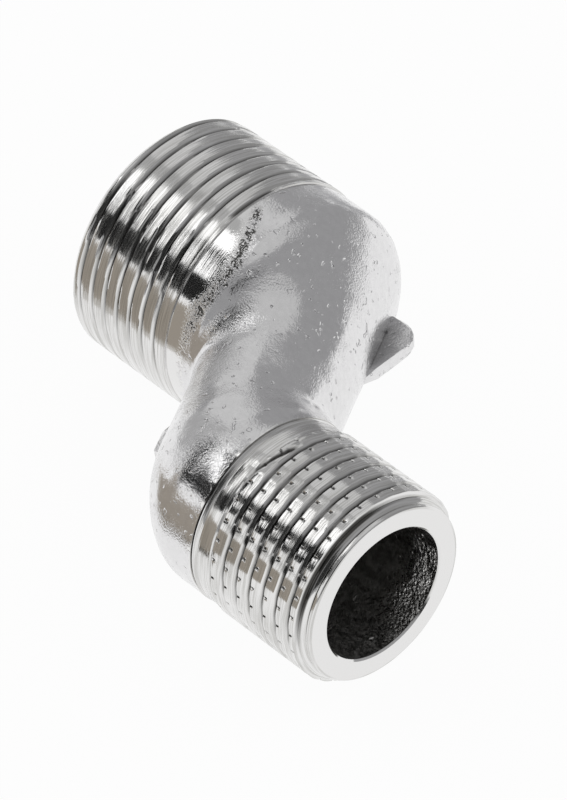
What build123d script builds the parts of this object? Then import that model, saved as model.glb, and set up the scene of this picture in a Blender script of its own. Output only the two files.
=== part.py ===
from build123d import *
import os
from math import acos, asin, atan, cos, degrees, hypot, pi, sin

# Eccentric fitting: a one-piece cast S-connector between a 3/4 in and a 1/2 in pipe thread.
# It is drawn with both pipe axes in the XY plane, the outlet on the X axis, and then laid down
# on its two threads. All sizes are in millimetres.

# Pipe threads, shown as rings of the real pitch
pitch = 1.814
crest_land = 0.9
groove_depth = 0.7
root_land = 0.1
outlet_crest_d = 26.2
inlet_crest_d = 20.8

# Outlet end, 3/4 in
rim_chamfer = 0.6
outlet_lead = 0.4
outlet_turns = 7
outlet_band = 1.3
outlet_bore_d = 19.6

# Inlet end, 1/2 in
neck_d = 20.3
neck_length = 2.4
inlet_turns = 7
lead_trim = 0.5
lead_run = 0.9
pilot_d = 19.1
pilot_length = 0.5
pilot_chamfer = 0.15
inlet_bore_d = 14.4

# Cast body: two elbows that bend about their crotches and meet at the waist
axis_offset = 18.72
boss_step = 0.15
waist_width = 15.2
waist_height = 17.7
outlet_crotch = 1.8
inlet_crotch = 2.9
web_straight = 0.4
outlet_shank = 3.0
inlet_shank = 0.5
wall = 2.3
core_step = 0.3
outlet_corner = 3.6
inlet_corner = 7.6
shank_steps = 4
fan_steps = 15
oval_steps = 24
surface_fit = 0.01

# Lug on the outlet elbow, below the plane of the axes
lug_reach = 13.45
lug_width = 8.9
lug_drop = 2.65
lug_thickness = 1.55
lug_corner = 2.5

# Nub on the back of the inlet elbow, above the plane of the axes
nub_length = 3.4
nub_proud = 0.5
nub_thickness = 2.4
nub_corner = 0.8
nub_rise = 0.3
nub_along = 7.2

outlet_r = outlet_crest_d / 2
inlet_r = inlet_crest_d / 2
outlet_boss_r = outlet_r - boss_step
inlet_boss_r = inlet_r - boss_step
outlet_bore_r = outlet_bore_d / 2
inlet_bore_r = inlet_bore_d / 2
groove_width = pitch - crest_land

# The web leans so that both elbows bend by the same angle and leave web_straight between them
fan_span = waist_width + outlet_crotch + inlet_crotch
overlap = outlet_boss_r + inlet_boss_r + outlet_crotch + inlet_crotch - axis_offset
web_angle = acos(overlap / hypot(fan_span, web_straight)) - atan(web_straight / fan_span)

# Stations along X
body_start = rim_chamfer + outlet_lead + outlet_turns * pitch - crest_land + outlet_band
outlet_pivot = (body_start + outlet_shank, -outlet_boss_r - outlet_crotch)
inlet_pivot = (
    outlet_pivot[0] + fan_span * sin(web_angle) + web_straight * cos(web_angle),
    -axis_offset + inlet_boss_r + inlet_crotch,
)
body_end = inlet_pivot[0] + inlet_shank
thread_start = body_end + neck_length
lead_start = thread_start + inlet_turns * pitch - lead_trim
tip = lead_start + lead_run + pilot_length
waist_reach = waist_width / 2 + outlet_crotch
waist_x = outlet_pivot[0] + waist_reach * sin(web_angle) + web_straight / 2 * cos(web_angle)
waist_y = outlet_pivot[1] + waist_reach * cos(web_angle) - web_straight / 2 * sin(web_angle)


def groove(start, radius):
    flank = (groove_width - root_land) / 2
    return [
        (start + flank, radius - groove_depth),
        (start + groove_width - flank, radius - groove_depth),
        (start + groove_width, radius),
    ]


def turned(profile):
    face = make_face(Polyline(*profile, close=True))
    return revolve(face, Axis.X)


def outlet_end():
    points = [(0, 0), (0, outlet_r - rim_chamfer), (rim_chamfer, outlet_r)]
    for turn in range(outlet_turns):
        start = rim_chamfer + outlet_lead + turn * pitch
        points += [(start, outlet_r)] + groove(start, outlet_r)
    points += [(body_start, outlet_r), (body_start, 0)]
    return turned(points)


def inlet_end():
    points = [(body_end, 0), (body_end, neck_d / 2), (thread_start, neck_d / 2)]
    for turn in range(inlet_turns):
        start = thread_start + turn * pitch
        points += groove(start, inlet_r) + [(start + pitch, inlet_r)]
    points[-1] = (lead_start, inlet_r)
    points += [
        (lead_start + lead_run, pilot_d / 2),
        (tip - pilot_chamfer, pilot_d / 2),
        (tip, pilot_d / 2 - pilot_chamfer),
        (tip, 0),
    ]
    return Pos(Y=-axis_offset) * turned(points)


def soft_min(a, b, blend):
    depth = max(blend - abs(a - b), 0)
    return min(a, b) - depth**2 / (4 * blend)


def half_oval(x, y, angle, half_width, half_height):
    points = []
    for step in range(oval_steps + 1):
        turn = pi * step / oval_steps
        across = half_width * cos(turn)
        points.append((x + across * sin(angle), y + across * cos(angle), half_height * sin(turn)))
    return points


def elbow(pivot, side, crotch, boss, radius, skin, corner):
    # Half ovals that fan out from the pivot, from the pipe axis round to the web
    width = waist_width - 2 * skin
    height = waist_height - 2 * skin
    ovals = []
    for step in range(fan_steps):
        part = step / fan_steps
        angle = web_angle * part
        near = crotch + (boss - radius) * (1 - part) + skin * part
        far_boss = (crotch + boss + radius) / cos(angle)
        far_web = (crotch + skin + width) / cos(web_angle - angle)
        far = soft_min(far_boss, far_web, corner)
        middle = side * (near + far) / 2
        half = (far - near) / 2
        swell = (height / width - 1) * part**3 * (4 - 3 * part)
        x = pivot[0] + middle * sin(angle)
        y = pivot[1] + middle * cos(angle)
        ovals.append(half_oval(x, y, angle, half, half * (1 + swell)))
    return ovals


def shank(start, length, y, radius):
    stations = [start + length * step / shank_steps for step in range(shank_steps)]
    return [half_oval(x, y, 0, radius, radius) for x in stations]


def s_tube(outlet_radius, inlet_radius, skin):
    rows = shank(body_start, outlet_shank, 0, outlet_radius)
    rows += elbow(outlet_pivot, 1, outlet_crotch, outlet_boss_r, outlet_radius, skin, outlet_corner)
    rows += [half_oval(waist_x, waist_y, web_angle, waist_width / 2 - skin, waist_height / 2 - skin)]
    rows += elbow(inlet_pivot, -1, inlet_crotch, inlet_boss_r, inlet_radius, skin, inlet_corner)[::-1]
    rows += shank(body_end, -inlet_shank, -axis_offset, inlet_radius)[::-1]
    top = Face.make_surface_from_array_of_points(rows, tol=surface_fit)
    bottom = mirror(top, Plane.XY)
    ends = []
    for x in (body_start, body_end):
        rims = [edge for edge in (*top.edges(), *bottom.edges()) if abs(edge.center().X - x) < surface_fit]
        ends.append(Face(Wire(rims)))
    return Solid(Shell([top, bottom, *ends]))


def lug():
    plate = Pos(body_start + lug_reach / 2, lug_width / 2) * Rectangle(lug_reach, lug_width)
    outer_corner = plate.vertices().sort_by(lambda corner: corner.X + corner.Y)[-1]
    plate = fillet(outer_corner, lug_corner)
    return Pos(Z=-lug_drop - lug_thickness) * extrude(plate, lug_thickness)


def nub():
    outward = (-sin(web_angle), -cos(web_angle), 0)
    along = (cos(web_angle), -sin(web_angle), 0)
    seat = waist_width / 2 - wall
    base_x = waist_x + seat * outward[0] + nub_along * along[0]
    base_y = waist_y + seat * outward[1] + nub_along * along[1]
    base = Plane((base_x, base_y, nub_rise), x_dir=along, z_dir=outward)
    return extrude(base * RectangleRounded(nub_length, nub_thickness, nub_corner), wall + nub_proud)


def passage():
    outlet_bore = Pos(X=body_start / 2) * Rot(Y=90) * Cylinder(outlet_bore_r, body_start)
    core = s_tube(outlet_bore_r - core_step, inlet_bore_r - core_step, wall)
    inlet_middle = (body_end + tip) / 2
    inlet_bore = Pos(inlet_middle, -axis_offset) * Rot(Y=90) * Cylinder(inlet_bore_r, tip - body_end)
    return outlet_bore + core + inlet_bore


def laid_down(body):
    # The smaller thread drops until both rest on the ground; the origin is under the middle
    roll = asin((outlet_r - inlet_r) / axis_offset)
    right = outlet_r
    left = -axis_offset * cos(roll) - inlet_r
    return Pos(-tip / 2, -(left + right) / 2, outlet_r) * Rot(X=degrees(roll)) * body


casting = s_tube(outlet_boss_r, inlet_boss_r, 0) + lug() + nub()
fitting = outlet_end() + casting + inlet_end() - passage()
os.makedirs("parts", exist_ok=True)
export_step(laid_down(fitting), "parts/eccentric_body.step")
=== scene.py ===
from math import acos, asin, atan, cos, hypot, pi, radians, sin, tan

import bpy
import numpy as np
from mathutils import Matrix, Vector, noise


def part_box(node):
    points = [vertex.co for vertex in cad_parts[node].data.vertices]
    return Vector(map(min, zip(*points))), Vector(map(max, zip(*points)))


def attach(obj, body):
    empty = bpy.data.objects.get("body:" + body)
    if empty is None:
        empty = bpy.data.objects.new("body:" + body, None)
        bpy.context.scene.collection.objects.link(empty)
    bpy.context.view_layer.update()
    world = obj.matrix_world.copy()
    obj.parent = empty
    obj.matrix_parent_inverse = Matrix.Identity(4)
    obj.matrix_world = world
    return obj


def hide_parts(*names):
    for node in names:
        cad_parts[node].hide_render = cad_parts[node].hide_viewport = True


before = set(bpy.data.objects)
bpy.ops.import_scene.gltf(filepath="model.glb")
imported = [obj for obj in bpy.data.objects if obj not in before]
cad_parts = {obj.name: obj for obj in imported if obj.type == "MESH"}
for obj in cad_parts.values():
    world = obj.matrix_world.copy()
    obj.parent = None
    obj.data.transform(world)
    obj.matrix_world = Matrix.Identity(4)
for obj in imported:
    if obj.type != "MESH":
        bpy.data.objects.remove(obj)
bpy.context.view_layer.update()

print("frame loaded with", list(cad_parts))

metre = 0.001  # the shape is worked out in millimetres and laid down in metres
low, high = [Vector(corner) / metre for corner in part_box("eccentric_body")]

# The shape is drawn with the outlet pipe on the X axis and the inlet pipe beside it, as it was cast

ends = {
    "pitch": 1.814,
    "outletR": (high.z - low.z) / 2,
    "inletR": 10.4,
    "tip": high.x - low.x,
    "bodyStart": 14.1,
    "bodyEnd": 35.258,
    "axisOffset": 18.72,
    "ringSteps": 200,
    "notchedSteps": 600,  # a whole number of times ringSteps, and of the notches in a turn
    "sharpAngle": 32,  # edges that bend more than this stay sharp
    "upperSide": (-0.5, 0.4),  # heights on a pipe of radius 1, between which the painted shade in its grooves gets darker
    "underShade": 0.45,  # how much of a groove's painted shade is left under the pipe
}


def fullTurn(steps):
    return np.arange(steps) * 2 * pi / steps


def ovalRing(x, y, lean, halfWide, halfTall, turn):
    across = halfWide * np.cos(turn)
    return np.stack([x + across * sin(lean), y + across * cos(lean), halfTall * np.sin(turn)], 1)


def smoothStep(start, end, value):
    part = np.clip((value - start) / (end - start), 0, 1)
    return part * part * (3 - 2 * part)


rings = []  # from the outlet rim over the outside to the tip, and back through the passage


# The darkness mark given to each ring is painted shade in grooves, notches, cuts and creases
def addRing(points, finish, turned=1.0, cavity=0.0, torn=0.0):
    count = len(points)
    rings.append({
        "points": points,
        "finish": finish,  # of the band from this ring to the next one
        "turned": np.broadcast_to(turned, count),
        "cavity": np.broadcast_to(cavity, count),
        "torn": np.broadcast_to(torn, count),
    })


def roundRing(x, y, radius, finish, **marks):
    turn = fullTurn(ends["ringSteps"])
    addRing(ovalRing(x, y, 0, radius, radius, turn), finish, **marks)


def paintedGrooveShade(turn):
    # Painted shade in the grooves is darkest on the upper side of a pipe
    upper = smoothStep(*ends["upperSide"], np.sin(turn))
    return ends["underShade"] + (1 - ends["underShade"]) * upper


def grooveShare(x, turn, start, land, rootLand):
    # 0 on the crest of a right-hand thread, 1 at the root of its groove
    phase = (x - start) / ends["pitch"] - turn / (2 * pi)
    offset = np.abs(phase - np.round(phase)) * ends["pitch"]
    flank = (ends["pitch"] - rootLand - land) / 2
    return np.clip((offset - land / 2) / flank, 0, 1)


outlet = {
    "boreR": 9.8,
    "boreChamfer": 0.25,
    "boreRings": 8,
    "boreShine": 0.25,  # how much the skin of the bore shines, with painted glints
    "rimChamfer": 0.6,
    "faceGap": 0.08,  # between the outermost ring of the flat face and the chamfer
    "threadStart": 0.03,
    "crestStart": 1.49,
    "crestLand": 1.2,
    "rootLand": 0.06,
    "depth": 0.34,
    "shade": 0.8,  # how dark the painted shade in the grooves is
    "runOut": (12.8, 14.1),
    "step": 0.165,
    # Where the tool left the thread, a cut with painted shade in it: angles and their fade, places along
    # X, half width, depth
    "mark": {"turns": (74, 100), "fade": 5, "places": (13.74, 13.7), "wide": 0.2, "depth": 0.3},
}


def runOutMark(x, turn, mark):
    angle = np.degrees(turn)
    first, last = mark["turns"]
    fade = mark["fade"]
    centre = np.interp(angle, mark["turns"], mark["places"])
    begun = smoothStep(first - fade, first + fade, angle)
    ended = smoothStep(last - fade, last + fade, angle)
    return begun * (1 - ended) * np.exp(-((x - centre) / mark["wide"]) ** 2)


def outletThread():
    turn = fullTurn(ends["ringSteps"])
    flatR = ends["outletR"] - outlet["rimChamfer"]
    innerR = outlet["boreR"] + outlet["boreChamfer"]
    for radius in (innerR, 0.5 * (outlet["boreR"] + flatR), flatR - outlet["faceGap"]):
        roundRing(0, 0, radius, "turned", turned=0.0)
    count = round(ends["bodyStart"] / outlet["step"])
    dark = outlet["shade"] * paintedGrooveShade(turn)
    for x in np.linspace(outlet["threadStart"], ends["bodyStart"], count):
        groove = grooveShare(x, turn, outlet["crestStart"], outlet["crestLand"], outlet["rootLand"])
        fade = 1 - smoothStep(*outlet["runOut"], x)
        mark = runOutMark(x, turn, outlet["mark"])
        radius = ends["outletR"] - outlet["depth"] * groove * fade - outlet["mark"]["depth"] * mark
        radius = np.minimum(radius, flatR + x)
        # Painted shade: the grooves are darker, most on the upper side, and the tool's cut is fully dark
        shade = np.maximum(groove * fade * dark, mark)
        addRing(ovalRing(x, 0, 0, radius, radius, turn), "turned", cavity=shade)


body = {
    "bossStep": 0.15,
    "waistWidth": 15.2,
    "waistHeight": 17.7,
    "outletCrotch": 1.8,
    "inletCrotch": 2.9,
    "webStraight": 0.4,
    "outletShank": 3.0,
    "inletShank": 0.5,
    "outletCorner": 3.6,
    "inletCorner": 7.6,
    "wall": 2.3,
    "coreStep": 0.3,
    "coreGap": 0.02,  # from the wide bore's end to the first ring of the core
    "shankGap": 0.05,  # from the thread's end to the first ring of the shank
    "shankRings": 8,
    "fanSteps": 36,
    "coreSteps": 8,
    "wave": 0.03,  # how far the cast skin wanders from the true shape
    "waveSize": 3.2,
}
outletBossR = ends["outletR"] - body["bossStep"]
inletBossR = ends["inletR"] - body["bossStep"]
fanSpan = body["waistWidth"] + body["outletCrotch"] + body["inletCrotch"]
overlap = outletBossR + inletBossR + body["outletCrotch"] + body["inletCrotch"] - ends["axisOffset"]
webAngle = acos(overlap / hypot(fanSpan, body["webStraight"])) - atan(body["webStraight"] / fanSpan)
outletPivot = (ends["bodyStart"] + body["outletShank"], -outletBossR - body["outletCrotch"])
inletPivot = (ends["bodyEnd"] - body["inletShank"], -ends["axisOffset"] + inletBossR + body["inletCrotch"])


def softMin(a, b, blend):
    depth = max(blend - abs(a - b), 0)
    return min(a, b) - depth**2 / (4 * blend)


def elbowOval(crotch, boss, radius, skin, corner, part):
    # Near and far side of the elbow, as distances from its pivot, and its half height
    width = body["waistWidth"] - 2 * skin
    height = body["waistHeight"] - 2 * skin
    angle = webAngle * part
    near = crotch + (boss - radius) * (1 - part) + skin * part
    farBoss = (crotch + boss + radius) / cos(angle)
    farWeb = (crotch + skin + width) / cos(webAngle - angle)
    far = softMin(farBoss, farWeb, corner)
    swell = (height / width - 1) * part**3 * (4 - 3 * part)
    return near, far, (far - near) / 2 * (1 + swell)


lug = {
    "reach": 13.45,
    "width": 8.9,
    "drop": 2.65,
    "thickness": 1.55,
    "corner": 2.5,
    "round": 0.3,
    "blend": 0.8,  # how far the lug stands out before it has its full thickness
    "topStep": -8,  # the ring's point that holds the lug's upper edge
    "shade": (0, 0, 0, 0.0, 0.1, 0.7),  # painted shade, from under the lug round its rim to its upper root, darkest in the crease at the upper root
}

nub = {
    "length": 3.4,
    "proud": 0.6,
    "thickness": 2.4,
    "rise": 0.9,
    "along": 7.2,
    "round": 0.25,
}

skim = {
    # How far along X the turning tool skimmed the casting, by the angle round the outlet pipe
    "angles": (0, 60, 82, 92, 101, 108, 122, 132, 142, 152, 166, 190, 230, 360),
    "ends": (14.4, 14.2, 14.2, 15.7, 16.7, 17.5, 18.0, 17.5, 17.0, 16.6, 16.6, 16.0, 14.6, 14.4),
    "soft": 0.9,
    "torn": (90, 148),  # the angles between which the edge is torn
    "tornFade": (8, 25),  # before the first and after the last
}


def skimmed(points):
    turn = np.degrees(np.arctan2(points[:, 2], points[:, 1])) % 360
    reach = np.interp(turn, skim["angles"], skim["ends"])
    edge = (points[:, 0] - reach) / skim["soft"]
    first, last = skim["torn"]
    before, after = skim["tornFade"]
    torn = smoothStep(first - before, first, turn) * (1 - smoothStep(last, last + after, turn))
    return {
        "turned": 1 - smoothStep(-1, 1, edge),
        "torn": torn * np.exp(-(edge**2)),
    }


def lugReach(angle):
    # How far the lug's rounded corner stands from the pivot, in the direction of a fan oval
    side, ahead = sin(angle), cos(angle)
    middleX = ends["bodyStart"] + lug["reach"] - lug["corner"] - outletPivot[0]
    middleY = lug["width"] - lug["corner"] - outletPivot[1]
    towards = side * middleX + ahead * middleY
    inside = lug["corner"] ** 2 - middleX**2 - middleY**2 + towards**2
    if inside > 0:
        reach = towards + inside**0.5
        if reach * side > middleX and reach * ahead > middleY:
            return reach
    side = max(side, 1e-6)  # the first oval looks straight ahead
    return min((middleX + lug["corner"]) / side, (middleY + lug["corner"]) / ahead)


def outletElbow():
    steps = ends["ringSteps"]
    order = np.arange(steps) - steps // 2  # point 0 faces the lug's side
    rimSteps = len(lug["shade"]) - 1
    upperRoot = steps // 2 + lug["topStep"]
    lugPoints = slice(upperRoot - rimSteps, upperRoot + 1)
    top = -lug["drop"]
    bottom = top - lug["thickness"]
    quarter = steps / 4
    knots = (-steps / 2, -quarter, lug["topStep"] - rimSteps, lug["topStep"], quarter, steps / 2)
    for part in np.linspace(0, 1, body["fanSteps"] + 1)[:-1]:
        angle = webAngle * part
        near, far, tall = elbowOval(
            body["outletCrotch"], outletBossR, outletBossR, 0, body["outletCorner"], part)
        half = (far - near) / 2
        middle = (far + near) / 2
        turns = (-pi, -pi / 2, asin(bottom / tall), asin(top / tall), pi / 2, pi)
        turn = np.interp(order, knots, turns)
        across = half * np.cos(turn)
        rise = tall * np.sin(turn)
        reach = lugReach(angle)
        if reach > far:
            inner = max(reach - lug["round"], far)
            root = across[lugPoints].copy()
            rim = np.array([inner, reach, reach, inner]) - middle
            edge = np.maximum([root[0], *rim, root[-1]], root)
            level = np.array([bottom, bottom, bottom + lug["round"], top - lug["round"], top, top])
            stand = smoothStep(0, lug["blend"], reach - far)
            across[lugPoints] += (edge - root) * stand
            rise[lugPoints] += (level - rise[lugPoints]) * stand
        # Painted shade in the crease at the lug's upper root
        shade = np.zeros(steps)
        shade[lugPoints] = np.array(lug["shade"]) * smoothStep(lug["blend"], 2 * lug["blend"], reach - far)
        points = np.stack([
            outletPivot[0] + (middle + across) * sin(angle),
            outletPivot[1] + (middle + across) * cos(angle),
            rise,
        ], 1)
        points = np.roll(points, -(steps // 2), axis=0)
        addRing(points, "cast", cavity=np.roll(shade, -(steps // 2)), **skimmed(points))


def outletShank():
    turn = fullTurn(ends["ringSteps"])
    start = ends["bodyStart"] + body["shankGap"]
    for x in np.linspace(start, outletPivot[0], body["shankRings"])[:-1]:
        points = ovalRing(x, 0, 0, outletBossR, outletBossR, turn)
        addRing(points, "cast", **skimmed(points))


def nubShare(size, distance):
    # 1 over the nub, 0 beside it
    return 1 - smoothStep(size / 2 - nub["round"], size / 2, distance)


def inletElbow():
    turn = fullTurn(ends["ringSteps"])
    foot = body["inletCrotch"] + body["waistWidth"]
    for part in np.linspace(0, 1, body["fanSteps"] + 1)[::-1]:
        angle = webAngle * part
        near, far, tall = elbowOval(
            body["inletCrotch"], inletBossR, inletBossR, 0, body["inletCorner"], part)
        half = (far - near) / 2
        middle = (far + near) / 2
        across = half * np.cos(turn)
        rise = tall * np.sin(turn)
        along = body["webStraight"] / 2 + foot * tan(webAngle - angle)
        patch = nubShare(nub["length"], abs(along - nub["along"]))
        patch = patch * nubShare(nub["thickness"], np.abs(rise - nub["rise"]))
        crown = middle - (foot + nub["proud"]) / cos(webAngle - angle)
        across = np.where(across < 0, across + (crown - across) * patch, across)
        points = np.stack([
            inletPivot[0] - (middle - across) * sin(angle),
            inletPivot[1] - (middle - across) * cos(angle),
            rise,
        ], 1)
        addRing(points, "cast", turned=0.0)


def roughenCasting():
    # The cast skin wanders a little inside its true shape
    for ring in rings:
        if ring["finish"] != "cast":
            continue
        points = ring["points"]
        centre = points.mean(0)
        out = points - centre
        out /= np.linalg.norm(out, axis=1, keepdims=True)
        wander = np.array([noise.noise(Vector(p) / body["waveSize"]) for p in points])
        depth = body["wave"] * (wander - 1) * (1 - ring["turned"])
        ring["points"] = points + out * depth[:, None]


inlet = {
    "neckR": 10.15,
    "neckLength": 2.4,
    "neckCut": 0.12,  # how deep the line between body and neck is
    "cutStations": ((0.03, 1.0), (0.12, 0.5)),  # places past the body, share of the line's painted shade
    "neckRings": 5,
    "ringStart": 0.16,
    "ringPitch": 0.19,
    "ringPoints": 4,  # stations along each ring of the neck
    # painted shade in the grooves between the neck's rings
    "ringShade": 0.4,
    "ripple": 0.06,
    # How dark the painted shade and painted reflection in the line between body and neck are, by the angle
    # round the pipe
    "neckLine": ((0, 60, 105, 130, 165, 200, 360), (0.25, 0.25, 0.6, 1.0, 1.0, 0.3, 0.25)),
    "threadEarly": 0.12,  # how far the thread reaches back over the neck
    "threadRise": (-0.1, 0.7),  # where the thread comes up, from its start
    "crestStart": 38.03,
    "crestLand": 1.2,
    "rootLand": 0.06,
    "depth": 0.36,
    # how dark the painted shade in the grooves is
    "shade": 0.85,
    "step": 0.163,
    "leadStart": 49.75,
    "pilotR": 9.55,
    "pilotChamfer": 0.22,
    "pilotSteps": 4,
    "faceGap": 0.1,
    # The lead behind the last crest: place along X, radius, painted shade
    "lead": (
        (49.84, 10.12, 0.85),
        (49.94, 9.90, 1.0),
        (50.06, 9.90, 1.0),
        (50.22, 9.88, 1.0),
        (50.40, 9.76, 0.0),
        (50.58, 9.60, 0.0),
        (50.66, 9.50, 0.85),
        (50.71, 9.50, 0.85),
        (50.78, 9.55, 0.0),
    ),
    # How dark the lead's lines of painted shade and painted reflection are, by the angle round the pipe
    "leadLine": ((0, 50, 78, 92, 145, 170, 200, 360), (0.2, 0.3, 0.6, 1.0, 1.0, 0.5, 0.0, 0.0)),
    # Where the tool left the thread, a cut with painted shade in it
    "mark": {"turns": (80, 106), "fade": 5, "places": (38.77, 37.75), "wide": 0.28, "depth": 0.3},
    "boreR": 7.2,
    "boreChamfer": 0.18,
    "boreRings": 14,
    # Where the bore's rough skin shines, smoother and with painted glints: places along X, and how much by
    # the angle round the pipe
    "shineReach": (45.5, 49.0),
    "shineSide": ((0, 25, 60, 250, 280, 305, 345, 360), (0.8, 0.35, 0.05, 0.05, 0.4, 1.0, 1.0, 0.8)),
    "notches": 30,
    "notchWide": 0.12,
    "notchLong": 0.22,
    "notchEdge": 4,  # more makes the sides of a notch steeper
    "notchDepth": 0.16,
    "notchPlace": -0.42,  # from the middle of the crest, back towards the groove
    "notchTurn": 4.0,
    # how dark the painted shade in the notches is
    "notchShade": 1.0,
    "pillow": 0.05,  # the crest swells between two notches
}


def inletNeck():
    y = -ends["axisOffset"]
    roundRing(ends["bodyEnd"], y, inletBossR, "turned")
    angle = np.degrees(fullTurn(ends["ringSteps"]))
    line = np.interp(angle, *inlet["neckLine"])
    cutR = inlet["neckR"] - inlet["neckCut"]
    for place, share in inlet["cutStations"]:
        roundRing(ends["bodyEnd"] + place, y, cutR, "turned", cavity=share * line)
    points = inlet["ringPoints"]
    count = inlet["neckRings"] * points
    for step in range(count):
        x = ends["bodyEnd"] + inlet["ringStart"] + inlet["ringPitch"] * step / points
        fade = 1 - step / count
        ripple = inlet["ripple"] * fade * (1 - cos(2 * pi * step / points))
        shade = inlet["ringShade"] * fade * (step % points == points // 2)
        roundRing(x, y, inlet["neckR"] - ripple, "turned", cavity=shade)


def inletThread():
    y = -ends["axisOffset"]
    turn = fullTurn(ends["notchedSteps"])
    start = ends["bodyEnd"] + inlet["neckLength"] - inlet["threadEarly"]
    riseStart, riseEnd = inlet["threadRise"]
    count = round((inlet["leadStart"] - start) / inlet["step"])
    spacing = 2 * pi / inlet["notches"]
    fromNotch = (turn - radians(inlet["notchTurn"])) / spacing
    arc = np.abs(fromNotch - np.round(fromNotch)) * spacing * ends["inletR"]
    row = np.exp(-(arc / inlet["notchWide"]) ** inlet["notchEdge"])
    dark = inlet["shade"] * paintedGrooveShade(turn)
    for x in np.linspace(start, inlet["leadStart"], count):
        groove = grooveShare(x, turn, inlet["crestStart"], inlet["crestLand"], inlet["rootLand"])
        rise = smoothStep(start + riseStart, start + riseEnd, x)
        crest = inlet["neckR"] + (ends["inletR"] - inlet["neckR"]) * rise
        phase = (x - inlet["crestStart"]) / ends["pitch"] - turn / (2 * pi)
        fromPlace = (phase - np.round(phase)) * ends["pitch"] - inlet["notchPlace"]
        notch = row * np.exp(-(fromPlace / inlet["notchLong"]) ** inlet["notchEdge"]) * rise
        mark = runOutMark(x, turn, inlet["mark"])
        radius = crest - inlet["depth"] * groove * rise - inlet["notchDepth"] * notch
        radius = radius - inlet["pillow"] * rise * np.cos(pi * fromNotch) ** 2
        radius = radius - inlet["mark"]["depth"] * mark
        points = ovalRing(x, y, 0, radius, radius, turn)
        # Painted shade: the grooves are darker, most on the upper side, and the notches and the tool's cut
        # are fully dark
        shade = np.maximum(groove * rise * dark, np.maximum(notch * inlet["notchShade"], mark))
        addRing(points, "turned", cavity=shade)


def inletTip():
    y = -ends["axisOffset"]
    tip = ends["tip"]
    line = np.interp(np.degrees(fullTurn(ends["ringSteps"])), *inlet["leadLine"])
    for x, radius, shade in inlet["lead"]:
        roundRing(x, y, radius, "turned", cavity=shade * line)
    for turn in np.linspace(0, pi / 2, inlet["pilotSteps"] + 1):
        x = tip - inlet["pilotChamfer"] * (1 - sin(turn))
        roundRing(x, y, inlet["pilotR"] - inlet["pilotChamfer"] * (1 - cos(turn)), "turned")
    faceR = inlet["pilotR"] - inlet["pilotChamfer"]
    innerR = inlet["boreR"] + inlet["boreChamfer"]
    for radius in (faceR - inlet["faceGap"], 0.5 * (faceR + inlet["boreR"]), innerR):
        roundRing(tip, y, radius, "turned", turned=0.0)


def passage():
    # In the bore, the turned mark of a ring says how much its skin shines, with painted glints
    y = -ends["axisOffset"]
    boreStart = ends["tip"] - inlet["boreChamfer"]
    turn = fullTurn(ends["ringSteps"])
    shine = np.interp(np.degrees(turn), *inlet["shineSide"])
    for x in np.linspace(boreStart, ends["bodyEnd"], inlet["boreRings"]):
        roundRing(x, y, inlet["boreR"], "bore", turned=shine * smoothStep(*inlet["shineReach"], x))
    outletCore = outlet["boreR"] - body["coreStep"]
    inletCore = inlet["boreR"] - body["coreStep"]
    fans = (
        (inletPivot, -1, body["inletCrotch"], inletBossR, inletCore, body["inletCorner"], 1),
        (outletPivot, 1, body["outletCrotch"], outletBossR, outletCore, body["outletCorner"], -1),
    )
    roundRing(ends["bodyEnd"], y, inletCore, "bore", turned=0.0)
    for pivot, side, crotch, boss, radius, corner, direction in fans:
        for part in np.linspace(0, 1, body["coreSteps"] + 1)[::direction]:
            angle = webAngle * part
            near, far, tall = elbowOval(crotch, boss, radius, body["wall"], corner, part)
            middle = side * (near + far) / 2
            points = ovalRing(pivot[0] + middle * sin(angle), pivot[1] + middle * cos(angle), angle,
                              (far - near) / 2, tall, turn)
            addRing(points, "bore", turned=0.0)
    roundRing(ends["bodyStart"] + body["coreGap"], 0, outletCore, "bore", turned=0.0)
    for x in np.linspace(ends["bodyStart"], outlet["boreChamfer"], outlet["boreRings"]):
        roundRing(x, 0, outlet["boreR"], "bore", turned=outlet["boreShine"])


def bridge(first, second):
    # Faces between two rings of the same count, or where one has a whole number of times the other's
    n, m = len(first), len(second)
    faces = []
    for j in range(max(n, m)):
        a, b = j * n // max(n, m), j * m // max(n, m)
        aNext, bNext = (j + 1) * n // max(n, m) % n, (j + 1) * m // max(n, m) % m
        corners = [first[a], first[aNext], second[bNext], second[b]]
        faces.append(list(dict.fromkeys(corners)))
    return faces


def laidDown(points):
    # Rolled about the outlet pipe until the smaller thread rests on the ground too
    roll = asin((ends["outletR"] - ends["inletR"]) / ends["axisOffset"])
    y = points[:, 1] * cos(roll) - points[:, 2] * sin(roll)
    z = points[:, 1] * sin(roll) + points[:, 2] * cos(roll)
    placed = np.stack([points[:, 0] + low.x, y + high.y - ends["outletR"], z + ends["outletR"]], 1)
    return placed * metre


stages = (outletThread, outletShank, outletElbow, inletElbow, roughenCasting,
          inletNeck, inletThread, inletTip, passage)
for makeRings in stages:
    makeRings()
    print(makeRings.__name__, "done,", len(rings), "rings so far")

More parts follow.
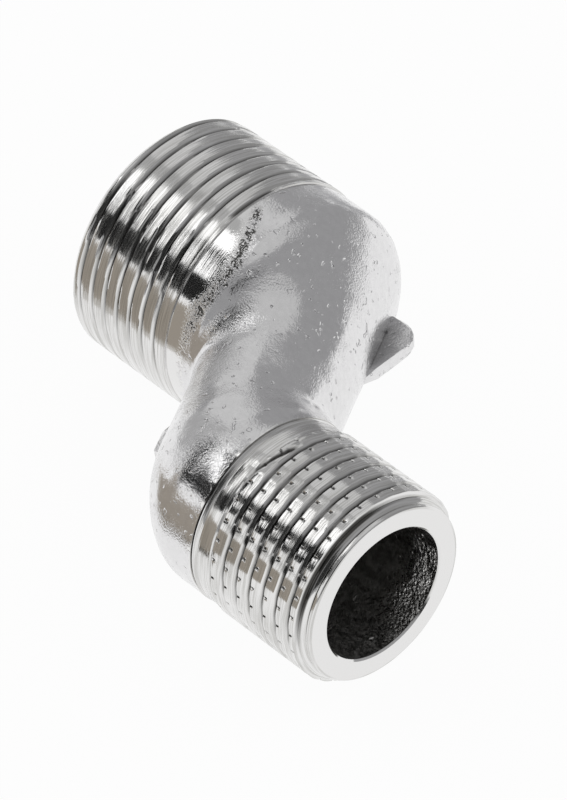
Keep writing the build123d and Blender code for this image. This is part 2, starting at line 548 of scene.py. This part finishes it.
numbers = []
count = 0
for ring in rings:
    numbers.append(list(range(count, count + len(ring["points"]))))
    count += len(ring["points"])
faces = []
finishes = []
finishOrder = ["cast", "turned", "bore"]
for k, ring in enumerate(rings):
    band = bridge(numbers[k], numbers[(k + 1) % len(rings)])
    faces += band
    finishes += [finishOrder.index(ring["finish"])] * len(band)
mesh = bpy.data.meshes.new("eccentricFitting")
mesh.from_pydata(laidDown(np.concatenate([ring["points"] for ring in rings])), [], faces)
for mark in ("turned", "cavity", "torn"):
    layer = mesh.attributes.new(mark, "FLOAT", "POINT")
    layer.data.foreach_set("value", np.concatenate([ring[mark] for ring in rings]).astype(np.float32))
mesh.polygons.foreach_set("material_index", np.array(finishes, dtype=np.int32))
mesh.polygons.foreach_set("use_smooth", np.ones(len(faces), dtype=bool))
mesh.update()
mesh.set_sharp_from_angle(angle=radians(ends["sharpAngle"]))
fitting = bpy.data.objects.new("eccentricFitting", mesh)
bpy.context.collection.objects.link(fitting)
print("fitting mesh:", len(mesh.vertices), "points,", sum(len(face) - 2 for face in faces), "triangles")


# Finishes, with sizes in millimetres


def newGroup(name, inputs, outputs):
    group = bpy.data.node_groups.new(name, "ShaderNodeTree")
    for socketName, kind, value in inputs:
        group.interface.new_socket(socketName, in_out="INPUT", socket_type=kind).default_value = value
    for socketName, kind in outputs:
        group.interface.new_socket(socketName, in_out="OUTPUT", socket_type=kind)
    start = group.nodes.new("NodeGroupInput")
    end = group.nodes.new("NodeGroupOutput")
    return group, start.outputs, end.inputs


def addNode(tree, kind, **values):
    node = tree.nodes.new(kind)
    for name, value in values.items():
        setattr(node, name, value)
    return node


def feed(tree, socket, value):
    # A plain value is set on the socket, and another node's output is linked to it
    if isinstance(value, (int, float, tuple)):
        socket.default_value = value
    else:
        tree.links.new(value, socket)


def mathNode(tree, operation, first, second):
    node = addNode(tree, "ShaderNodeMath", operation=operation)
    feed(tree, node.inputs[0], first)
    feed(tree, node.inputs[1], second)
    return node.outputs[0]


def rangeNode(tree, value, fromRange=(0.0, 1.0), toRange=(0.0, 1.0)):
    node = addNode(tree, "ShaderNodeMapRange", interpolation_type="SMOOTHSTEP")
    feed(tree, node.inputs["Value"], value)
    for name, limit in zip(("From Min", "From Max", "To Min", "To Max"), (*fromRange, *toRange)):
        node.inputs[name].default_value = limit
    return node.outputs["Result"]


def noiseNode(tree, coordinate, scale, detail):
    node = addNode(tree, "ShaderNodeTexNoise")
    feed(tree, node.inputs["Vector"], coordinate)
    feed(tree, node.inputs["Scale"], scale)
    node.inputs["Detail"].default_value = detail
    return node.outputs["Fac"]


pebbles = {
    # Scales beside that of the fine speckle
    "coarseScale": 0.3,
    "patchScale": 0.06,
    "pitScale": 0.26,
    "detail": 2.0,
    "pitDetail": 1.0,
    # The part of each noise that counts, and the heights
    "speckleRange": (0.3, 0.7),
    "cloudRange": (0.35, 0.65),
    "patchRange": (0.38, 0.66),
    "patchHeight": (0.12, 1.1),
    "coarseHeight": 0.35,
    "pitRange": (0.66, 0.76),
    "pitDepth": 1.5,
}


def makePebbleGrain():
    # The pebbled skin that a sand mould leaves, with a few deeper pits
    group, given, out = newGroup(
        "pebbleGrain",
        [("Speckle size", "NodeSocketFloat", metre)],
        [("Height", "NodeSocketFloat"), ("Speckle", "NodeSocketFloat"), ("Cloud", "NodeSocketFloat")],
    )
    place = addNode(group, "ShaderNodeTexCoord").outputs["Object"]
    scale = mathNode(group, "DIVIDE", 1.0, given["Speckle size"])
    detail = pebbles["detail"]
    fine = noiseNode(group, place, scale, detail)
    coarse = noiseNode(group, place, mathNode(group, "MULTIPLY", scale, pebbles["coarseScale"]), detail)
    patches = noiseNode(group, place, mathNode(group, "MULTIPLY", scale, pebbles["patchScale"]), detail)
    patches = rangeNode(group, patches, pebbles["patchRange"], pebbles["patchHeight"])
    pitScale = mathNode(group, "MULTIPLY", scale, pebbles["pitScale"])
    pits = rangeNode(group, noiseNode(group, place, pitScale, pebbles["pitDetail"]), pebbles["pitRange"])
    height = mathNode(group, "ADD", mathNode(group, "MULTIPLY", fine, patches),
                      mathNode(group, "MULTIPLY", coarse, pebbles["coarseHeight"]))
    height = mathNode(group, "SUBTRACT", height, mathNode(group, "MULTIPLY", pits, pebbles["pitDepth"]))
    group.links.new(height, out["Height"])
    group.links.new(rangeNode(group, fine, pebbles["speckleRange"]), out["Speckle"])
    group.links.new(rangeNode(group, coarse, pebbles["cloudRange"]), out["Cloud"])
    return group


toolMarks = {
    "stretch": (1.0, 0.03, 0.03),  # drawn out round the pipe, which runs along X
    "detail": 3.0,
    "lineRange": (0.35, 0.65),
}


def makeTurnedLines():
    # Fine marks that a turning tool leaves round the pipe axis
    group, given, out = newGroup(
        "turnedLines",
        [("Line pitch", "NodeSocketFloat", metre)],
        [("Height", "NodeSocketFloat"), ("Lines", "NodeSocketFloat")],
    )
    place = addNode(group, "ShaderNodeTexCoord").outputs["Object"]
    squeeze = addNode(group, "ShaderNodeVectorMath", operation="MULTIPLY")
    group.links.new(place, squeeze.inputs[0])
    squeeze.inputs[1].default_value = toolMarks["stretch"]
    scale = mathNode(group, "DIVIDE", 1.0, given["Line pitch"])
    lines = noiseNode(group, squeeze.outputs[0], scale, toolMarks["detail"])
    group.links.new(lines, out["Height"])
    group.links.new(rangeNode(group, lines, toolMarks["lineRange"]), out["Lines"])
    return group


pebbleGrain = makePebbleGrain()
turnedLines = makeTurnedLines()


def startMaterial(name):
    material = bpy.data.materials.new(name)
    material.use_nodes = True
    tree = material.node_tree
    return material, tree, tree.nodes["Principled BSDF"]


def useGroup(tree, group, sizeName, size):
    node = addNode(tree, "ShaderNodeGroup", node_tree=group)
    node.inputs[sizeName].default_value = size * metre
    return node.outputs


def attributeNode(tree, name):
    return addNode(tree, "ShaderNodeAttribute", attribute_name=name).outputs["Fac"]


def mixColour(tree, share, first, second):
    node = addNode(tree, "ShaderNodeMix", data_type="RGBA")
    feed(tree, node.inputs["Factor"], share)
    feed(tree, node.inputs[6], first)  # 6, 7 and 2 are the sockets for colours
    feed(tree, node.inputs[7], second)
    return node.outputs[2]


def mixValue(tree, share, first, second):
    node = addNode(tree, "ShaderNodeMix", data_type="FLOAT")
    feed(tree, node.inputs["Factor"], share)
    feed(tree, node.inputs[2], first)  # 2, 3 and 0 are the sockets for values
    feed(tree, node.inputs[3], second)
    return node.outputs[0]


def addBump(tree, shader, height, distance):
    bump = addNode(tree, "ShaderNodeBump")
    bump.inputs["Distance"].default_value = distance * metre
    tree.links.new(height, bump.inputs["Height"])
    tree.links.new(bump.outputs["Normal"], shader.inputs["Normal"])


turnedFinish = {
    "colour": (0.79, 0.785, 0.78, 1),
    "streak": (0.60, 0.595, 0.58, 1),
    "dark": (0.045, 0.043, 0.04, 1),  # painted shade in grooves, notches, cuts and creases, and the colour of the torn edge's flecks
    "darkRange": (0.2, 0.9),
    "darkShare": 0.97,
    "rough": (0.09, 0.2),
    "linePitch": 0.16,
    "bump": 0.016,
}


def makeTurnedChrome():
    material, tree, shader = startMaterial("turnedChrome")
    finish = turnedFinish
    shader.inputs["Metallic"].default_value = 1.0
    lines = useGroup(tree, turnedLines, "Line pitch", finish["linePitch"])
    # Painted shade in grooves, notches and cuts
    cavity = attributeNode(tree, "cavity")
    cavity = rangeNode(tree, cavity, finish["darkRange"], (0.0, finish["darkShare"]))
    turned = attributeNode(tree, "turned")  # 0 on the flat ends, which have no such marks
    marks = mathNode(tree, "MULTIPLY", lines["Lines"], turned)
    streaks = mixColour(tree, marks, finish["colour"], finish["streak"])
    tree.links.new(mixColour(tree, cavity, streaks, finish["dark"]), shader.inputs["Base Color"])
    tree.links.new(rangeNode(tree, marks, toRange=finish["rough"]), shader.inputs["Roughness"])
    addBump(tree, shader, mathNode(tree, "MULTIPLY", lines["Height"], turned), finish["bump"])
    return material


castFinish = {
    "colour": (0.78, 0.775, 0.78, 1),
    "dark": (0.75, 0.745, 0.75, 1),
    "cavityShare": 0.6,
    "rough": (0.10, 0.20),
    "speckle": 0.2,
    "bump": 0.05,
    "ragged": 0.9,  # how much the grain breaks up the turned edge
    "turnedRange": (0.42, 0.58),
    "lineHeight": 0.3,
    "tornCloud": 0.5,
    "tornRange": (0.6, 0.95),
    "tornShare": 0.95,
}


def makeCastChrome():
    material, tree, shader = startMaterial("castChrome")
    finish = castFinish
    shader.inputs["Metallic"].default_value = 1.0
    grain = useGroup(tree, pebbleGrain, "Speckle size", finish["speckle"])
    lines = useGroup(tree, turnedLines, "Line pitch", turnedFinish["linePitch"])
    # The turned edge is ragged where the casting dips below the tool
    dips = mathNode(tree, "MULTIPLY", mathNode(tree, "SUBTRACT", grain["Cloud"], 0.5), finish["ragged"])
    turned = mathNode(tree, "ADD", attributeNode(tree, "turned"), dips)
    turned = rangeNode(tree, turned, finish["turnedRange"])
    cloud = mathNode(tree, "MULTIPLY", grain["Cloud"], finish["tornCloud"])
    flecks = mathNode(tree, "MULTIPLY", attributeNode(tree, "torn"),
                      mathNode(tree, "ADD", grain["Speckle"], cloud))
    torn = rangeNode(tree, flecks, finish["tornRange"], (0.0, finish["tornShare"]))
    # Painted shade in the crease at the lug's root
    cavity = rangeNode(tree, attributeNode(tree, "cavity"), toRange=(0.0, finish["cavityShare"]))
    skin = mixColour(tree, grain["Cloud"], finish["dark"], finish["colour"])
    skin = mixColour(tree, turned, skin, turnedFinish["colour"])
    # The dark flecks of the torn edge and the painted shade darken the skin
    skin = mixColour(tree, mathNode(tree, "MAXIMUM", torn, cavity), skin, turnedFinish["dark"])
    tree.links.new(skin, shader.inputs["Base Color"])
    rough = rangeNode(tree, grain["Speckle"], toRange=finish["rough"])
    tree.links.new(mixValue(tree, turned, rough, turnedFinish["rough"][0]), shader.inputs["Roughness"])
    lineHeight = mathNode(tree, "MULTIPLY", lines["Height"], finish["lineHeight"])
    height = mixValue(tree, turned, grain["Height"], lineHeight)
    addBump(tree, shader, mathNode(tree, "SUBTRACT", height, flecks), finish["bump"])
    return material


boreFinish = {
    "colour": (0.50, 0.494, 0.48, 1),
    "dark": (0.28, 0.275, 0.266, 1),
    # colour of the painted glints where the skin shines
    "shine": (0.95, 0.94, 0.92, 1),
    "rough": (0.3, 0.6),
    "shineRough": 0.2,
    "speckle": 0.3,
    "bump": 0.44,
    "leastBump": 0.08,  # how much of the bump is left where the skin doesn't shine
}


def makeBoreMetal():
    material, tree, shader = startMaterial("boreMetal")
    finish = boreFinish
    shader.inputs["Metallic"].default_value = 1.0
    grain = useGroup(tree, pebbleGrain, "Speckle size", finish["speckle"])
    shine = attributeNode(tree, "turned")
    skin = mixColour(tree, grain["Cloud"], finish["dark"], finish["colour"])
    # Painted glints on the speckles where the skin shines
    skin = mixColour(tree, mathNode(tree, "MULTIPLY", shine, grain["Speckle"]), skin, finish["shine"])
    tree.links.new(skin, shader.inputs["Base Color"])
    rough = rangeNode(tree, grain["Speckle"], toRange=finish["rough"])
    tree.links.new(mixValue(tree, shine, rough, finish["shineRough"]), shader.inputs["Roughness"])
    depth = mathNode(tree, "MAXIMUM", shine, finish["leastBump"])
    addBump(tree, shader, mathNode(tree, "MULTIPLY", grain["Height"], depth), finish["bump"])
    return material


for makeFinish in (makeCastChrome, makeTurnedChrome, makeBoreMetal):  # in the order of finishOrder
    mesh.materials.append(makeFinish())
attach(fitting, "root")
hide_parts("eccentric_body")
print("finishes:", [material.name for material in mesh.materials])


# Studio

studio = {
    "floorSize": 4.0,
    "floorColour": (0.88, 0.88, 0.88, 1),
    "floorRough": 0.9,
    "floorWhite": 0.95,  # how much of the floor's look is plain white; the rest takes shadows
    "skyLight": 0.75,
    "cardDistance": 0.5,
    "cardGap": 0.01,  # each card hangs this much nearer than the one before it
    "cardRows": 12,
    "cardColumns": 73,
    "cards": {
        # Cards that the metal mirrors: directions round Z, heights as angles, brightness
        "greyRoom": ((-75, 285), (1.5, 62), (0.365, 0.365, 0.37)),
        "paleCeiling": ((0, 360), (60, 89), (0.62, 0.62, 0.62)),
        "paleBack": ((135, 168), (12, 62), (0.68, 0.68, 0.68)),
        "dimBack": ((168, 188), (-1, 62), (0.46, 0.46, 0.46)),
        "dimFront": ((229, 262), (28, 62), (0.2, 0.2, 0.2)),
        "softBox": ((188, 230), (30, 62), (1.4, 1.4, 1.4)),
        "paleStrip": ((192, 258), (6, 30), (1.0, 1.0, 1.0)),
        "brownCard": ((205, 258), (-1.3, 6.5), (0.36, 0.325, 0.28)),
        "darkFront": ((-60, -20), (6, 44), (0.03, 0.03, 0.03)),
    },
    # Black flags close by: distance, then columns of direction, lower edge and upper edge
    "flags": {
        "blackFlag": (0.15, (
            (196, 0.080, 0.140),
            (207, 0.070, 0.135),
            (215, 0.050, 0.118),
            (221, 0.036, 0.098),
            (228, 0.040, 0.101),
            (236, 0.052, 0.112),
            (241, 0.062, 0.130),
            (252, 0.066, 0.135),
        )),
        "blackDrape": (0.05, (
            (205, 0.064, 0.078),
            (211, 0.061, 0.088),
            (216, 0.058, 0.094),
            (222, 0.052, 0.092),
            (228, 0.044, 0.084),
            (234, 0.036, 0.068),
            (240, 0.038, 0.050),
        )),
    },
    "flagColour": (0.012, 0.012, 0.012),
    "mats": {
        # Mats on the floor beside the white sheet under the fitting, and a painted shadow strip along one:
        # near edge, far edge, brightness
        "paleMat": (
            ((-0.036, -0.015), (-0.019, -0.0255)),
            ((-0.0392, -0.0201), (-0.020, -0.0272)),
            (0.62, 0.60, 0.57),
        ),
        # a dark strip that stands for the shade along the near edge of the brown mat
        "matEdgeShadow": (
            ((-0.019, -0.0255), (-0.002, -0.036)),
            ((-0.020, -0.0272), (-0.0052, -0.0411)),
            (0.10, 0.09, 0.075),
        ),
        "brownMat": (
            ((-0.0392, -0.0201), (-0.020, -0.0272), (-0.0052, -0.0411)),
            ((-0.5, -0.28), (-0.32, -0.45), (-0.09, -0.58)),
            (0.36, 0.325, 0.28),
        ),
        "greyMat": (
            ((-0.02, 0.074), (-0.074, 0.074)),
            ((-0.15, 0.58), (-0.42, 0.42)),
            (0.42, 0.42, 0.43),
        ),
    },
    "matHeight": 0.0004,
}


def whiteSeen(tree):
    # 1 for what the camera sees directly, mirrored or through glass
    path = addNode(tree, "ShaderNodeLightPath")
    seen = mathNode(tree, "MAXIMUM", path.outputs["Is Camera Ray"], path.outputs["Is Glossy Ray"])
    return mathNode(tree, "MAXIMUM", seen, path.outputs["Is Transmission Ray"])


def makeFloor():
    size = studio["floorSize"] / 2
    corners = [(-size, -size, 0), (size, -size, 0), (size, size, 0), (-size, size, 0)]
    plane = bpy.data.meshes.new("floor")
    plane.from_pydata(corners, [], [(0, 1, 2, 3)])
    floor = bpy.data.objects.new("floor", plane)
    bpy.context.collection.objects.link(floor)
    material, tree, shader = startMaterial("paleFloor")
    shader.inputs["Base Color"].default_value = studio["floorColour"]
    shader.inputs["Roughness"].default_value = studio["floorRough"]
    shader.inputs["Specular IOR Level"].default_value = 0.0
    white = addNode(tree, "ShaderNodeEmission")
    mix = addNode(tree, "ShaderNodeMixShader")
    share = mathNode(tree, "MULTIPLY", whiteSeen(tree), studio["floorWhite"])
    tree.links.new(share, mix.inputs[0])
    tree.links.new(shader.outputs[0], mix.inputs[1])
    tree.links.new(white.outputs[0], mix.inputs[2])
    tree.links.new(mix.outputs[0], tree.nodes["Material Output"].inputs["Surface"])
    plane.materials.append(material)


def makeCard(name, grid, colour):
    across = len(grid[0])
    points = [point for row in grid for point in row]
    faces = [(r * across + k, r * across + k + 1, (r + 1) * across + k + 1, (r + 1) * across + k)
             for r in range(len(grid) - 1) for k in range(across - 1)]
    sheet = bpy.data.meshes.new(name)
    sheet.from_pydata(points, [], faces)
    card = bpy.data.objects.new(name, sheet)
    bpy.context.collection.objects.link(card)
    material, tree, shader = startMaterial(name)
    tree.nodes.remove(shader)
    glow = addNode(tree, "ShaderNodeEmission")
    glow.inputs["Color"].default_value = (*colour, 1)
    tree.links.new(glow.outputs[0], tree.nodes["Material Output"].inputs["Surface"])
    sheet.materials.append(material)
    card.visible_camera = False
    card.visible_diffuse = False
    card.visible_shadow = False


def makeStudio():
    middle = (low.z + high.z) / 2 * metre
    reach = studio["cardDistance"]
    for name, (sides, heights, colour) in studio["cards"].items():
        grid = []
        for rise in np.radians(np.linspace(*heights, studio["cardRows"])):
            grid.append([
                (reach * cos(rise) * cos(side), reach * cos(rise) * sin(side), middle + reach * sin(rise))
                for side in np.radians(np.linspace(*sides, studio["cardColumns"]))
            ])
        makeCard(name, grid, colour)
        reach -= studio["cardGap"]
    for name, (distance, columns) in studio["flags"].items():
        grid = []
        for edge in (1, 2):
            grid.append([
                (distance * cos(radians(column[0])), distance * sin(radians(column[0])), column[edge])
                for column in columns
            ])
        makeCard(name, grid, studio["flagColour"])
    for name, (near, far, colour) in studio["mats"].items():
        makeCard(name, [[(x, y, studio["matHeight"]) for x, y in row] for row in (near, far)], colour)
    world = bpy.data.worlds.new("studio")
    world.use_nodes = True
    bpy.context.scene.world = world
    tree = world.node_tree
    level = rangeNode(tree, whiteSeen(tree), toRange=(studio["skyLight"], 1.0))
    tree.links.new(level, tree.nodes["Background"].inputs["Strength"])
    tree.nodes["Background"].inputs["Color"].default_value = (1, 1, 1, 1)


makeFloor()
makeStudio()
print("studio ready")


# Camera

view = {
    "place": (0.34292, -0.31506, 0.41910),
    "direction": 47.42,  # round Z, from the front
    "height": 41.16,
    "lens": 286.19,
    "clipStart": 0.01,
}


def makeCamera():
    side, rise = radians(view["direction"]), radians(view["height"])
    back = Vector((sin(side) * cos(rise), -cos(side) * cos(rise), sin(rise)))
    camera = bpy.data.objects.new("camera", bpy.data.cameras.new("camera"))
    bpy.context.collection.objects.link(camera)
    camera.data.lens = view["lens"]
    camera.data.clip_start = view["clipStart"]
    camera.location = view["place"]
    camera.rotation_mode = "QUATERNION"
    camera.rotation_quaternion = (-back).to_track_quat("-Z", "Y")
    bpy.context.scene.camera = camera


makeCamera()
print("camera ready")
bpy.context.scene.view_settings.view_transform = "Standard"
bpy.context.view_layer.update()
